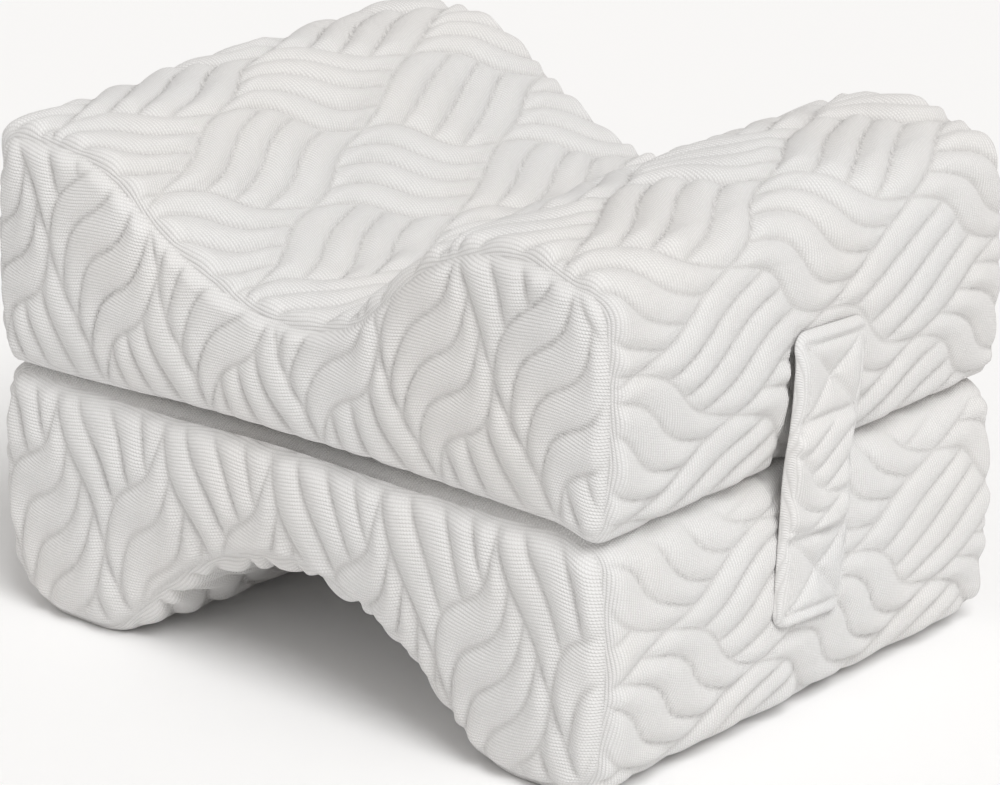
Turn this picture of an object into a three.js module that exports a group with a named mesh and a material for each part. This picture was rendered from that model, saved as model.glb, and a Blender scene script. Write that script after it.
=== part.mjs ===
// A knee pillow of two foam pads in quilted knit covers, joined on one side by a sewn strap.
// Both pads have a groove for a leg between two lobes. The lower pad lies upside down, so that
// its groove is an arch over the floor. Units are millimetres, +Z is up, the grooves run along Y,
// the shaped end panel that faces -Y is the front, and the strap is on the +X side.
import * as THREE from 'three';
import { mergeVertices } from 'three/addons/utils/BufferGeometryUtils.js';

// Sizes of a pad, measured to the stitched lines between the quilted ribs
const BODY_WIDTH = 257;
const BODY_DEPTH = 207;
const SIDE_CROWN = 2;
const SADDLE_CROWN = 2.2;
const END_CROWN = 2;
const END_CROWN_RISE = 20;
const SPLIT_HEIGHT = 87.2;
const PAD_GAP = 0.3;
const SPLIT_BOW = 2.2;
const HALF_WIDTH = BODY_WIDTH / 2;
const HALF_DEPTH = BODY_DEPTH / 2;

// The upper pad seen from the front: height above the split across the leg groove
const UPPER_SADDLE = [
  { x: 99, z: 86.6 },
  { x: 84, z: 86 },
  { x: 70, z: 83 },
  { x: 57, z: 76.5 },
  { x: 46, z: 68 },
  { x: 35, z: 57.8 },
  { x: 24, z: 48.8 },
  { x: 12, z: 44 },
  { x: -2, z: 42.6 },
  { x: -16, z: 44 },
  { x: -30, z: 48 },
  { x: -45, z: 55 },
  { x: -60, z: 64 },
  { x: -75, z: 73.5 },
  { x: -88, z: 79 },
  { x: -100, z: 80.8 },
];

// The lower pad, measured the same way downwards from the split
const LOWER_SADDLE = [
  { x: 100, z: 88.2 },
  { x: 87, z: 87.2 },
  { x: 76, z: 82.5 },
  { x: 66, z: 74 },
  { x: 56, z: 64.5 },
  { x: 45, z: 56 },
  { x: 32, z: 49.3 },
  { x: 18, z: 44.6 },
  { x: 3, z: 42 },
  { x: -12, z: 43.4 },
  { x: -27, z: 47.6 },
  { x: -42, z: 55.5 },
  { x: -55, z: 66 },
  { x: -66, z: 77 },
  { x: -76, z: 85 },
  { x: -85, z: 88 },
  { x: -95, z: 88.4 },
];

// Each pad's shape: the heights of its outer corners, how far its rounded edges reach, and where
// the cloth's repeat starts on the wrap and on the end panels
const PADS = {
  upper_pad: {
    saddle: UPPER_SADDLE,
    upwards: true,
    rightTop: 83,
    leftTop: 80,
    rightCorner: 13,
    leftCorner: 9,
    splitCorner: 9,
    splitRim: 4.5,
    rim: 7,
    wrapRepeat: { long: 2.3, short: 9.3, slant: -0.018 },
    endRepeat: { long: 47, short: 7.6, slant: -0.007 },
  },
  lower_pad: {
    saddle: LOWER_SADDLE,
    upwards: false,
    rightTop: 86.6,
    leftTop: 88.4,
    rightCorner: 17,
    leftCorner: 28,
    splitCorner: 10,
    splitRim: 11,
    rim: 9,
    wrapRepeat: { long: 76, short: 39.7, slant: -0.033 },
    endRepeat: { long: 40.9, short: 29.2, slant: -0.029 },
  },
};
const SPLIT_RIM_REACH = 24;

// Quilting: blocks of four ribs that lean left and right by turns, like a basket weave. The ribs
// that lean one way are curly, the others nearly straight.
const BLOCK_LENGTH = 96.3;
const BLOCK_HEIGHT = 47.3;
const RIBS_IN_BLOCK = 4;
const BLOCK_STEPS = 2 * RIBS_IN_BLOCK;
const QUILT_RISE = 1.8;
const CURLY_SWAY = 0.08;
const STRAIGHT_SWAY = 0.025;
const STEP_LONG = BLOCK_LENGTH / (2 * BLOCK_STEPS);
const STEP_SHORT = BLOCK_HEIGHT / (2 * BLOCK_STEPS);
const SEAM_STEP = 2 * STEP_SHORT;
const SEAM_CLEAR = 3;
const SEAM_FADE = 9;
const SPLIT_FADE = { from: 5, to: 14 };
const SPLIT_GRID = 32;
const OUTLINE_SAMPLES = 1200;
const NORMAL_REACH = 1.5;
const MIN_TRIANGLE = 0.02;

// The strap that hinges the pads together
const STRAP_WIDTH = 39;
const STRAP_LENGTH = 98;
const STRAP_THICKNESS = 3.4;
const STRAP_EDGE_THICKNESS = 2;
const STRAP_CORNER = 5;
const STRAP_LEAN = THREE.MathUtils.degToRad(4);
const STRAP_DIP = 1.8;
const STRAP_DIP_REACH = 14;
const STRAP_DROP = 3;
const STRAP_QUILT_RISE = 0.9;
const STRAP_REPEAT = { long: 6, short: 4, slant: 0 };
const STRAP_CLEAR = 0.3;
const STRAP_BACK_STEPS = 12;

const WHITE_COVER = 0xe6e3e0;
const WHITE_STRAP = 0xe4e2e0;

const { clamp, lerp, smoothstep } = THREE.MathUtils;

// Delaunay triangles of flat points, by Bowyer and Watson's method. The points are shaken a
// little, in a fixed way, so that no four of them lie on one circle.
function triangulate(points) {
  const SHAKE = 1e-4;
  const FAR = 1e4;
  const spots = points.map((p, i) => ({
    u: p.u + SHAKE * Math.sin(i * 12.9898),
    v: p.v + SHAKE * Math.sin(i * 78.233),
  }));
  const count = spots.length;
  spots.push({ u: -FAR, v: -FAR }, { u: FAR, v: -FAR }, { u: 0, v: FAR });
  const withCircle = (a, b, c) => {
    const [p, q, r] = [spots[a], spots[b], spots[c]];
    const twice = 2 * (p.u * (q.v - r.v) + q.u * (r.v - p.v) + r.u * (p.v - q.v));
    const [pp, qq, rr] = [p, q, r].map((s) => s.u * s.u + s.v * s.v);
    const u = (pp * (q.v - r.v) + qq * (r.v - p.v) + rr * (p.v - q.v)) / twice;
    const v = (pp * (r.u - q.u) + qq * (p.u - r.u) + rr * (q.u - p.u)) / twice;
    return { corners: [a, b, c], u, v, reach: (p.u - u) ** 2 + (p.v - v) ** 2 };
  };
  let triangles = [withCircle(count, count + 1, count + 2)];
  for (let i = 0; i < count; i++) {
    const rim = new Map();
    const kept = [];
    for (const triangle of triangles) {
      const away = (spots[i].u - triangle.u) ** 2 + (spots[i].v - triangle.v) ** 2;
      if (away >= triangle.reach) {
        kept.push(triangle);
        continue;
      }
      triangle.corners.forEach((from, k) => {
        const to = triangle.corners[(k + 1) % 3];
        const back = `${to},${from}`;
        if (rim.has(back)) rim.delete(back);
        else rim.set(`${from},${to}`, [from, to]);
      });
    }
    for (const [from, to] of rim.values()) kept.push(withCircle(from, to, i));
    triangles = kept;
  }
  return triangles.map((t) => t.corners).filter((corners) => corners.every((c) => c < count));
}

function isInside(outline, u, v) {
  let inside = false;
  for (let i = 0, j = outline.length - 1; i < outline.length; j = i++) {
    const [p, q] = [outline[i], outline[j]];
    if (p.v > v !== q.v > v && u < ((q.u - p.u) * (v - p.v)) / (q.v - p.v) + p.u) inside = !inside;
  }
  return inside;
}

function distanceToOutline(outline, u, v) {
  let nearest = Infinity;
  for (let i = 0, j = outline.length - 1; i < outline.length; j = i++) {
    const [p, q] = [outline[i], outline[j]];
    const [du, dv] = [q.u - p.u, q.v - p.v];
    const along = ((u - p.u) * du + (v - p.v) * dv) / (du * du + dv * dv || 1);
    const held = clamp(along, 0, 1);
    nearest = Math.min(nearest, Math.hypot(u - p.u - held * du, v - p.v - held * dv));
  }
  return nearest;
}

function isWellInside(outline, node) {
  return isInside(outline, node.u, node.v) && distanceToOutline(outline, node.u, node.v) > SEAM_CLEAR;
}

// Every node of the quilting over a flat area, in the cloth's own directions: "long" runs along
// the blocks, "short" across them, and the repeat starts at "start". Each node says how high the
// ribs stand there.
function quiltNodes(longRange, shortRange, start) {
  const nodes = [];
  const spare = Math.abs(start.slant) * (longRange[1] - longRange[0]);
  const firstLong = Math.ceil((longRange[0] - start.long) / STEP_LONG);
  const lastLong = Math.floor((longRange[1] - start.long) / STEP_LONG);
  const firstShort = Math.ceil((shortRange[0] - spare - start.short) / STEP_SHORT);
  const lastShort = Math.floor((shortRange[1] + spare - start.short) / STEP_SHORT);
  for (let m = firstLong; m <= lastLong; m++) {
    for (let n = firstShort; n <= lastShort; n++) {
      if ((m + n) % 2 !== 0) continue;
      const i = (m + n) / 2;
      const j = (m - n) / 2;
      const swayA = CURLY_SWAY * Math.sin((2 * Math.PI * j) / BLOCK_STEPS);
      const swayB = STRAIGHT_SWAY * Math.sin((2 * Math.PI * i) / BLOCK_STEPS);
      const swayLong = (BLOCK_LENGTH / 2) * (swayA + swayB);
      nodes.push({
        long: start.long + m * STEP_LONG,
        short: start.short + n * STEP_SHORT + start.slant * m * STEP_LONG,
        swayLong,
        swayShort: (BLOCK_HEIGHT / 2) * (swayA - swayB) + start.slant * swayLong,
        rise: ribHeight(i, j),
      });
    }
  }
  return nodes;
}

// 1 on the crest of a rib, 0 on the stitched lines beside it and on its block's edges
function ribHeight(i, j) {
  if (i % BLOCK_STEPS === 0 || j % BLOCK_STEPS === 0) return 0;
  const blocks = Math.floor(i / BLOCK_STEPS) + Math.floor(j / BLOCK_STEPS);
  const across = blocks % 2 === 0 ? j : i;
  return across % 2 === 0 ? 0 : 1;
}

// One panel of cloth: a rim of points whose places are known, and inner points that place() puts
// on the surface. Returns its triangles' corners, three numbers each.
function panel(rim, inner, place, flipped) {
  const points = [...rim, ...inner];
  const corners = [];
  for (const [a, b, c] of triangulate(points)) {
    const [p, q, r] = [points[a], points[b], points[c]];
    const area = ((q.u - p.u) * (r.v - p.v) - (q.v - p.v) * (r.u - p.u)) / 2;
    if (Math.abs(area) < MIN_TRIANGLE) continue;
    if (!isInside(rim, (p.u + q.u + r.u) / 3, (p.v + q.v + r.v) / 3)) continue;
    const ordered = area > 0 !== flipped ? [p, q, r] : [p, r, q];
    for (const point of ordered) {
      point.position ??= place(point);
      corners.push(...point.position);
    }
  }
  return corners;
}

function closedGeometry(corners) {
  const geometry = new THREE.BufferGeometry();
  geometry.setAttribute('position', new THREE.Float32BufferAttribute(corners, 3));
  const merged = mergeVertices(geometry, 1e-3);
  merged.computeVertexNormals();
  return merged;
}

function marks(from, to, steps) {
  return Array.from({ length: steps + 1 }, (_, k) => lerp(from, to, k / steps));
}

// The pad seen from the front, from the split's right edge over the saddle to its left edge
function padOutline(pad) {
  const { splitCorner, rightTop, leftTop, rightCorner, leftCorner } = pad;
  const quarter = Math.PI / 2;
  const path = new THREE.Path();
  path.moveTo(HALF_WIDTH - splitCorner, 0);
  path.absarc(HALF_WIDTH - splitCorner, splitCorner, splitCorner, -quarter, 0, false);
  path.quadraticCurveTo(HALF_WIDTH + 2 * SIDE_CROWN, rightTop / 2, HALF_WIDTH, rightTop - rightCorner);
  path.absarc(HALF_WIDTH - rightCorner, rightTop - rightCorner, rightCorner, 0, quarter, false);
  path.splineThru(pad.saddle.map((row) => new THREE.Vector2(row.x, row.z)));
  path.absarc(-HALF_WIDTH + leftCorner, leftTop - leftCorner, leftCorner, quarter, 2 * quarter, false);
  path.quadraticCurveTo(-HALF_WIDTH - 2 * SIDE_CROWN, leftTop / 2, -HALF_WIDTH, splitCorner);
  path.absarc(-HALF_WIDTH + splitCorner, splitCorner, splitCorner, 2 * quarter, 3 * quarter, false);
  return path;
}

// Looks up the outline's place and outward direction by the distance along it
function outlineLookup(path) {
  const length = path.getLength();
  const samples = path.getSpacedPoints(OUTLINE_SAMPLES);
  const at = (distance) => {
    const place = clamp(distance / length, 0, 1) * OUTLINE_SAMPLES;
    const k = Math.min(Math.floor(place), OUTLINE_SAMPLES - 1);
    return samples[k].clone().lerp(samples[k + 1], place - k);
  };
  const outward = (distance) => {
    const along = at(distance + NORMAL_REACH).sub(at(distance - NORMAL_REACH)).normalize();
    return new THREE.Vector2(along.y, -along.x);
  };
  return { length, samples, at, outward };
}

// The quilting's long direction runs backwards and upwards on the upper pad, and the other way on
// the lower pad, which is the same pad turned over
function padGeometry(pad) {
  const outline = outlineLookup(padOutline(pad));
  const facing = pad.upwards ? 1 : -1;
  const splitHalf = HALF_WIDTH - pad.splitCorner;
  const rimAt = (height) => lerp(pad.splitRim, pad.rim, smoothstep(height, 0, SPLIT_RIM_REACH));
  const splitFade = (height) => smoothstep(height, SPLIT_FADE.from, SPLIT_FADE.to);
  const bowAt = (x) => SPLIT_BOW * Math.cos((Math.PI / 2) * Math.min(1, Math.abs(x) / splitHalf)) ** 2;

  // The wrap turns over a quarter of the way onto the end panel, where the seam is
  const turn = (rim, fromSeam) => Math.max(0, Math.PI / 4 - fromSeam / rim);
  const depthAt = (rim, along) => {
    const angle = turn(rim, HALF_DEPTH - Math.abs(along));
    const straight = HALF_DEPTH - (rim * Math.PI) / 4;
    const share = Math.min(1, Math.abs(along) / straight);
    return Math.sign(along) * ((HALF_DEPTH - rim) * share + rim * Math.sin(angle));
  };
  const insetAt = (rim, along) => rim * (1 - Math.cos(turn(rim, HALF_DEPTH - Math.abs(along))));

  // A point on the pad, with its height turned to the side of the split that the pad is on
  const toRow = (x, y, height) => {
    const away = PAD_GAP / 2 + height;
    const z = pad.upwards ? SPLIT_HEIGHT + away : Math.max(0, SPLIT_HEIGHT - away);
    return [x, y, z];
  };
  const onWrap = (distance, along, lift) => {
    const middle = outline.at(distance);
    const out = outline.outward(distance);
    const rim = rimAt(middle.y);
    const crown = SADDLE_CROWN * Math.max(0, out.y) * (1 - (along / HALF_DEPTH) ** 2);
    const proud = lift + crown - insetAt(rim, along);
    return toRow(middle.x + out.x * proud, depthAt(rim, along), middle.y + out.y * proud);
  };
  const onSplitEdge = (side, t) => {
    const distance = side > 0 ? 0 : outline.length;
    return { u: side * splitHalf, v: t, position: onWrap(distance, t, 0) };
  };
  const onSplit = (x, along) => {
    const height = bowAt(x) + insetAt(pad.splitRim, along);
    return toRow(x, depthAt(pad.splitRim, along), height);
  };

  const wrapSteps = Math.round(outline.length / SEAM_STEP);
  const splitSteps = Math.round((2 * splitHalf) / SEAM_STEP);
  const depthSteps = Math.round(BODY_DEPTH / SEAM_STEP);
  const wrapMarks = marks(0, outline.length, wrapSteps);
  const splitMarks = marks(-splitHalf, splitHalf, splitSteps);
  const depthMarks = marks(-HALF_DEPTH, HALF_DEPTH, depthSteps);
  const sideMarks = depthMarks.slice(1, -1);

  // The long wrap over the sides and the saddle
  const wrapRim = [
    ...wrapMarks.map((s) => ({ u: s, v: -HALF_DEPTH, position: onWrap(s, -HALF_DEPTH, 0) })),
    ...sideMarks.map((t) => ({ u: outline.length, v: t, position: onWrap(outline.length, t, 0) })),
    ...wrapMarks.toReversed().map((s) => ({ u: s, v: HALF_DEPTH, position: onWrap(s, HALF_DEPTH, 0) })),
    ...sideMarks.toReversed().map((t) => ({ u: 0, v: t, position: onWrap(0, t, 0) })),
  ];
  const wrapInner = quiltNodes([-HALF_DEPTH, HALF_DEPTH], [0, outline.length], pad.wrapRepeat)
    .map((node) => ({ ...node, u: node.short, v: facing * node.long }))
    .filter((node) => distanceToBox(node.u, node.v, outline.length) > SEAM_CLEAR);
  const placeOnWrap = (node) => {
    const fromSeam = HALF_DEPTH - Math.abs(node.v);
    const sway = smoothstep(distanceToBox(node.u, node.v, outline.length), SEAM_CLEAR, 3 * SEAM_CLEAR);
    const distance = node.u + node.swayShort * sway;
    const fade = smoothstep(fromSeam, 0, SEAM_FADE) * splitFade(outline.at(distance).y);
    const along = node.v + facing * node.swayLong * sway;
    return onWrap(distance, along, QUILT_RISE * node.rise * fade);
  };

  // The face on the split, where the other pad lies against it
  const splitRim = [
    ...splitMarks.map((x) => ({ u: x, v: -HALF_DEPTH, position: onSplit(x, -HALF_DEPTH) })),
    ...sideMarks.map((t) => onSplitEdge(1, t)),
    ...splitMarks.toReversed().map((x) => ({ u: x, v: HALF_DEPTH, position: onSplit(x, HALF_DEPTH) })),
    ...sideMarks.toReversed().map((t) => onSplitEdge(-1, t)),
  ];
  splitRim[0].position = onWrap(outline.length, -HALF_DEPTH, 0);
  splitRim[splitSteps].position = onWrap(0, -HALF_DEPTH, 0);
  splitRim[splitSteps + depthSteps].position = onWrap(0, HALF_DEPTH, 0);
  splitRim[2 * splitSteps + depthSteps].position = onWrap(outline.length, HALF_DEPTH, 0);
  const splitInner = [];
  for (let x = -splitHalf + SPLIT_GRID / 2; x < splitHalf - SPLIT_GRID / 4; x += SPLIT_GRID) {
    for (const t of [-HALF_DEPTH + SEAM_STEP, -SPLIT_GRID, SPLIT_GRID, HALF_DEPTH - SEAM_STEP]) {
      splitInner.push({ u: x, v: t });
    }
  }

  // The two shaped end panels
  const outlineShape = [...outline.samples.map((p) => ({ u: p.x, v: p.y })), { u: -splitHalf, v: 0 }];
  const endPanel = (side) => {
    const seam = side * HALF_DEPTH;
    const wrapEdge = wrapMarks.map((s) => onWrap(s, seam, 0));
    const splitEdge = splitMarks.slice(1, -1).map((x) => onSplit(x, seam));
    const heightOf = (position) => Math.abs(position[2] - SPLIT_HEIGHT) - PAD_GAP / 2;
    const rim = [...wrapEdge, ...splitEdge].map((position) => ({
      u: position[0],
      v: heightOf(position),
      position,
    }));
    const tallest = Math.max(...rim.map((point) => point.v));
    const inner = quiltNodes([-tallest, tallest], [-HALF_WIDTH, HALF_WIDTH], pad.endRepeat)
      .map((node) => ({ ...node, u: side * node.short, v: facing * node.long }))
      .filter((node) => isWellInside(rim, node));
    const place = (node) => {
      const fromSeam = distanceToOutline(rim, node.u, node.v);
      const sway = smoothstep(fromSeam, SEAM_CLEAR, 3 * SEAM_CLEAR);
      const x = node.u + side * node.swayShort * sway;
      const height = node.v + facing * node.swayLong * sway;
      const rimHere = rimAt(height);
      const inset = Math.min(distanceToOutline(outlineShape, x, height), rimHere);
      const rounding = rimHere - Math.sqrt(rimHere ** 2 - (rimHere - inset) ** 2);
      const middle = Math.max(0, 1 - (x / HALF_WIDTH) ** 2);
      const crown = END_CROWN * middle * smoothstep(fromSeam, 0, END_CROWN_RISE);
      const lift = QUILT_RISE * node.rise * smoothstep(fromSeam, 0, SEAM_FADE) * splitFade(height);
      return toRow(x, side * (HALF_DEPTH - rounding + crown + lift), height);
    };
    return panel(rim, inner, place, (side > 0) === pad.upwards);
  };

  const corners = [
    ...panel(wrapRim, wrapInner, placeOnWrap, pad.upwards),
    ...panel(splitRim, splitInner, (point) => onSplit(point.u, point.v), pad.upwards),
    ...endPanel(-1),
    ...endPanel(1),
  ];
  return closedGeometry(corners);
}

// How far a point of the wrap is from the wrap's edges
function distanceToBox(distance, along, length) {
  return Math.min(distance, length - distance, HALF_DEPTH - Math.abs(along));
}

// The strap: a padded strip with rounded corners that leans, and sinks a little into the split
function strapGeometry() {
  const halfWidth = STRAP_WIDTH / 2 - STRAP_CORNER;
  const halfLength = STRAP_LENGTH / 2 - STRAP_CORNER;
  const quarter = Math.PI / 2;
  const path = new THREE.Path();
  path.absarc(halfWidth, halfLength, STRAP_CORNER, 0, quarter, false);
  path.absarc(-halfWidth, halfLength, STRAP_CORNER, quarter, 2 * quarter, false);
  path.absarc(-halfWidth, -halfLength, STRAP_CORNER, 2 * quarter, 3 * quarter, false);
  path.absarc(halfWidth, -halfLength, STRAP_CORNER, 3 * quarter, 4 * quarter, false);
  path.closePath();
  const steps = Math.round(path.getLength() / SEAM_STEP);
  const edge = path.getSpacedPoints(steps).slice(0, -1).map((p) => ({ u: p.x, v: p.y }));

  const place = (u, v, proud) => {
    const y = u * Math.cos(STRAP_LEAN) + v * Math.sin(STRAP_LEAN);
    const up = v * Math.cos(STRAP_LEAN) - u * Math.sin(STRAP_LEAN) - STRAP_DROP;
    const dip = STRAP_DIP * Math.exp(-((up / STRAP_DIP_REACH) ** 2));
    const back = HALF_WIDTH + SIDE_CROWN + QUILT_RISE + STRAP_CLEAR - dip;
    return [back + proud, y, SPLIT_HEIGHT + up];
  };
  const faceRim = edge.map((p) => ({ ...p, position: place(p.u, p.v, STRAP_EDGE_THICKNESS) }));
  const backRim = edge.map((p) => ({ ...p, position: place(p.u, p.v, 0) }));
  const longRange = [-STRAP_LENGTH / 2, STRAP_LENGTH / 2];
  const shortRange = [-STRAP_WIDTH / 2, STRAP_WIDTH / 2];
  const inner = quiltNodes(longRange, shortRange, STRAP_REPEAT)
    .map((node) => ({ ...node, u: node.short, v: node.long }))
    .filter((node) => isWellInside(edge, node));
  const backInner = marks(-halfLength, halfLength, STRAP_BACK_STEPS).map((v) => ({ u: 0, v }));

  const walls = [];
  faceRim.forEach((front, k) => {
    const next = (k + 1) % edge.length;
    const [a, b, c, d] = [backRim[k], backRim[next], faceRim[next], front].map((p) => p.position);
    walls.push(...a, ...b, ...c, ...a, ...c, ...d);
  });
  const placeOnFace = (node) => {
    const groove = STRAP_QUILT_RISE * (1 - node.rise);
    return place(node.u, node.v, STRAP_THICKNESS - groove);
  };
  return closedGeometry([
    ...panel(faceRim, inner, placeOnFace, false),
    ...panel(backRim, backInner, (n) => place(n.u, n.v, 0), true),
    ...walls,
  ]);
}

function clothMesh(name, geometry, color) {
  const cloth = new THREE.MeshStandardMaterial({ color, roughness: 0.92, metalness: 0 });
  const mesh = new THREE.Mesh(geometry, cloth);
  mesh.name = name;
  return mesh;
}

const pillow = new THREE.Group();
for (const [name, pad] of Object.entries(PADS)) {
  pillow.add(clothMesh(name, padGeometry(pad), WHITE_COVER));
}
pillow.add(clothMesh('hinge_strap', strapGeometry(), WHITE_STRAP));

// The origin is on the floor, under the middle of the whole pillow with its strap
const reach = new THREE.Box3().setFromObject(pillow);
pillow.position.set(-(reach.min.x + reach.max.x) / 2, -(reach.min.y + reach.max.y) / 2, -reach.min.z);

export default pillow;
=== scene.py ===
# %% [markdown]
# # Knee pillow
# Two foam pads lie one on the other, each in a fitted cover of white quilted knit, and a quilted
# strap sewn on one side joins them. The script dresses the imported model: it keeps the measures of
# the solids and gives each of the three its real cloth. All lengths are in metres.

import math

import bmesh
import bpy
import numpy as np
from mathutils import Matrix, Vector


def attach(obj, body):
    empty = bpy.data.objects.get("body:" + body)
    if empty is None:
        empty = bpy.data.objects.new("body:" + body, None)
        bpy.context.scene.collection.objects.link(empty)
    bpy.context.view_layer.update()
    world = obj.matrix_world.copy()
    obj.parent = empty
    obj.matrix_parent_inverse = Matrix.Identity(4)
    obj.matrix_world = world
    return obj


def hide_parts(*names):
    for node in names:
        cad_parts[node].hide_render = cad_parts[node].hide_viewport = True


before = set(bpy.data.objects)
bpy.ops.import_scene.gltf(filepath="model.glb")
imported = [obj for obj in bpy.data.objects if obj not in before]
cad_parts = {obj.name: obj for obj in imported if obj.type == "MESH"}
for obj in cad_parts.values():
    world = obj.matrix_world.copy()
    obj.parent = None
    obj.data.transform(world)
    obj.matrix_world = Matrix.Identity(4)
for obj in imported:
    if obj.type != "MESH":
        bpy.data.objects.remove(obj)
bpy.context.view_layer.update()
MM = 0.001
TINY = 1e-9

# %% [markdown]
# The camera comes first. It stands above the near right corner of the pillow, far away behind a
# long lens, so that the two faces keep their upright edges nearly parallel.

# %% Camera
CAMERA_PLACE = (1.0115, -1.2202, 0.6735)
CAMERA_AXES = (
    (0.76704, 0.64151, 0.01090),
    (-0.23347, 0.26326, 0.93603),
    (0.59761, -0.72053, 0.35171),
)
lens = bpy.data.cameras.new("camera")
lens.sensor_width = 36.0
lens.lens = 183.84
camera = bpy.data.objects.new("camera", lens)
bpy.context.scene.collection.objects.link(camera)
turned = Matrix(CAMERA_AXES).transposed().to_4x4()
camera.matrix_world = Matrix.Translation(CAMERA_PLACE) @ turned
bpy.context.scene.camera = camera
print("camera at", CAMERA_PLACE)

# %% [markdown]
# The pads keep the measures of their solids. Each pad is described as it looks from the front, by
# the height of its saddle above the face on which the two pads meet. The lower pad is the same
# idea turned over: its heights count downwards, so its saddle is an arch over the floor.

# %% Measures of the pads
HALF_WIDTH = 128.5 * MM
HALF_DEPTH = 103.5 * MM
PADS_MIDDLE = -1.85 * MM
SIDE_CROWN = 2 * MM
SADDLE_CROWN = 2.2 * MM
END_CROWN = 2 * MM
END_CROWN_REACH = 20 * MM
SPLIT_HEIGHT = 87.2 * MM
PAD_GAP = 0.3 * MM
SPLIT_BOW = 2.2 * MM
SPLIT_RIM_REACH = 24 * MM
SEAM_TURN = math.pi / 4
SEAM_INSET = 0.29

UPPER_SADDLE = (
    (99, 86.6), (84, 86), (70, 83), (57, 76.5), (46, 68), (35, 57.8), (24, 48.8), (12, 44),
    (-2, 42.6), (-16, 44), (-30, 48), (-45, 55), (-60, 64), (-75, 73.5), (-88, 79), (-100, 80.8),
)
LOWER_SADDLE = (
    (100, 88.2), (87, 87.2), (76, 82.5), (66, 74), (56, 64.5), (45, 56), (32, 49.3), (18, 44.6),
    (3, 42), (-12, 43.4), (-27, 47.6), (-42, 55.5), (-55, 66), (-66, 77), (-76, 85),
    (-85, 88), (-95, 88.4),
)
PADS = {
    "upper_pad": dict(
        saddle=UPPER_SADDLE, up=1, right_top=83 * MM, left_top=80 * MM, right_corner=13 * MM,
        left_corner=9 * MM, split_corner=9 * MM, split_rim=4.5 * MM, rim=7 * MM,
        wrap_repeat=(2.3 * MM, 9.3 * MM, -0.018), end_repeat=(47 * MM, 7.6 * MM, -0.007),
        split_fade=(0.5 * MM, 5 * MM), split_lip=0.9 * MM,
    ),
    "lower_pad": dict(
        saddle=LOWER_SADDLE, up=-1, right_top=86.6 * MM, left_top=88.4 * MM,
        right_corner=17 * MM, left_corner=28 * MM, split_corner=10 * MM, split_rim=11 * MM,
        rim=9 * MM, wrap_repeat=(76 * MM, 39.7 * MM, -0.033),
        end_repeat=(40.9 * MM, 29.2 * MM, -0.029), split_fade=(1.5 * MM, 11 * MM), split_lip=0,
    ),
}
print("pads:", {name: len(pad["saddle"]) for name, pad in PADS.items()}, "saddle rows")

# %% [markdown]
# The outline is drawn as a pattern cutter would: rounded corners, slightly bowed sides and one
# flowing line over the saddle. It is looked up by the length along it, because cloth lies along
# that line without stretching, and the quilting is printed on the cloth by length.

# %% Outline of a pad
def smoothstep(value, low, high):
    share = np.clip((value - low) / (high - low), 0, 1)
    return share * share * (3 - 2 * share)


def arc(middle, radius, start, end, steps=24):
    angles = np.radians(np.linspace(start, end, steps + 1))
    return np.array(middle) + radius * np.column_stack([np.cos(angles), np.sin(angles)])


def bowed(start, control, end, steps=40):
    f = np.linspace(0, 1, steps + 1)[:, None]
    start, control, end = (np.array(point) for point in (start, control, end))
    return (1 - f) ** 2 * start + 2 * f * (1 - f) * control + f * f * end


def flowing(points, steps=16):
    rows = np.vstack([points[:1], points, points[-1:]])
    f = np.linspace(0, 1, steps, endpoint=False)[:, None]
    parts = []
    for before, start, end, after in zip(rows, rows[1:], rows[2:], rows[3:]):
        leave, arrive = (end - before) / 2, (after - start) / 2
        bend = (2 * start - 2 * end + leave + arrive) * f**3
        parts.append(bend + (3 * end - 3 * start - 2 * leave - arrive) * f**2 + leave * f + start)
    return np.vstack([*parts, points[-1:]])


def length_of(points):
    return np.linalg.norm(np.diff(points, axis=0), axis=1).sum()


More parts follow.
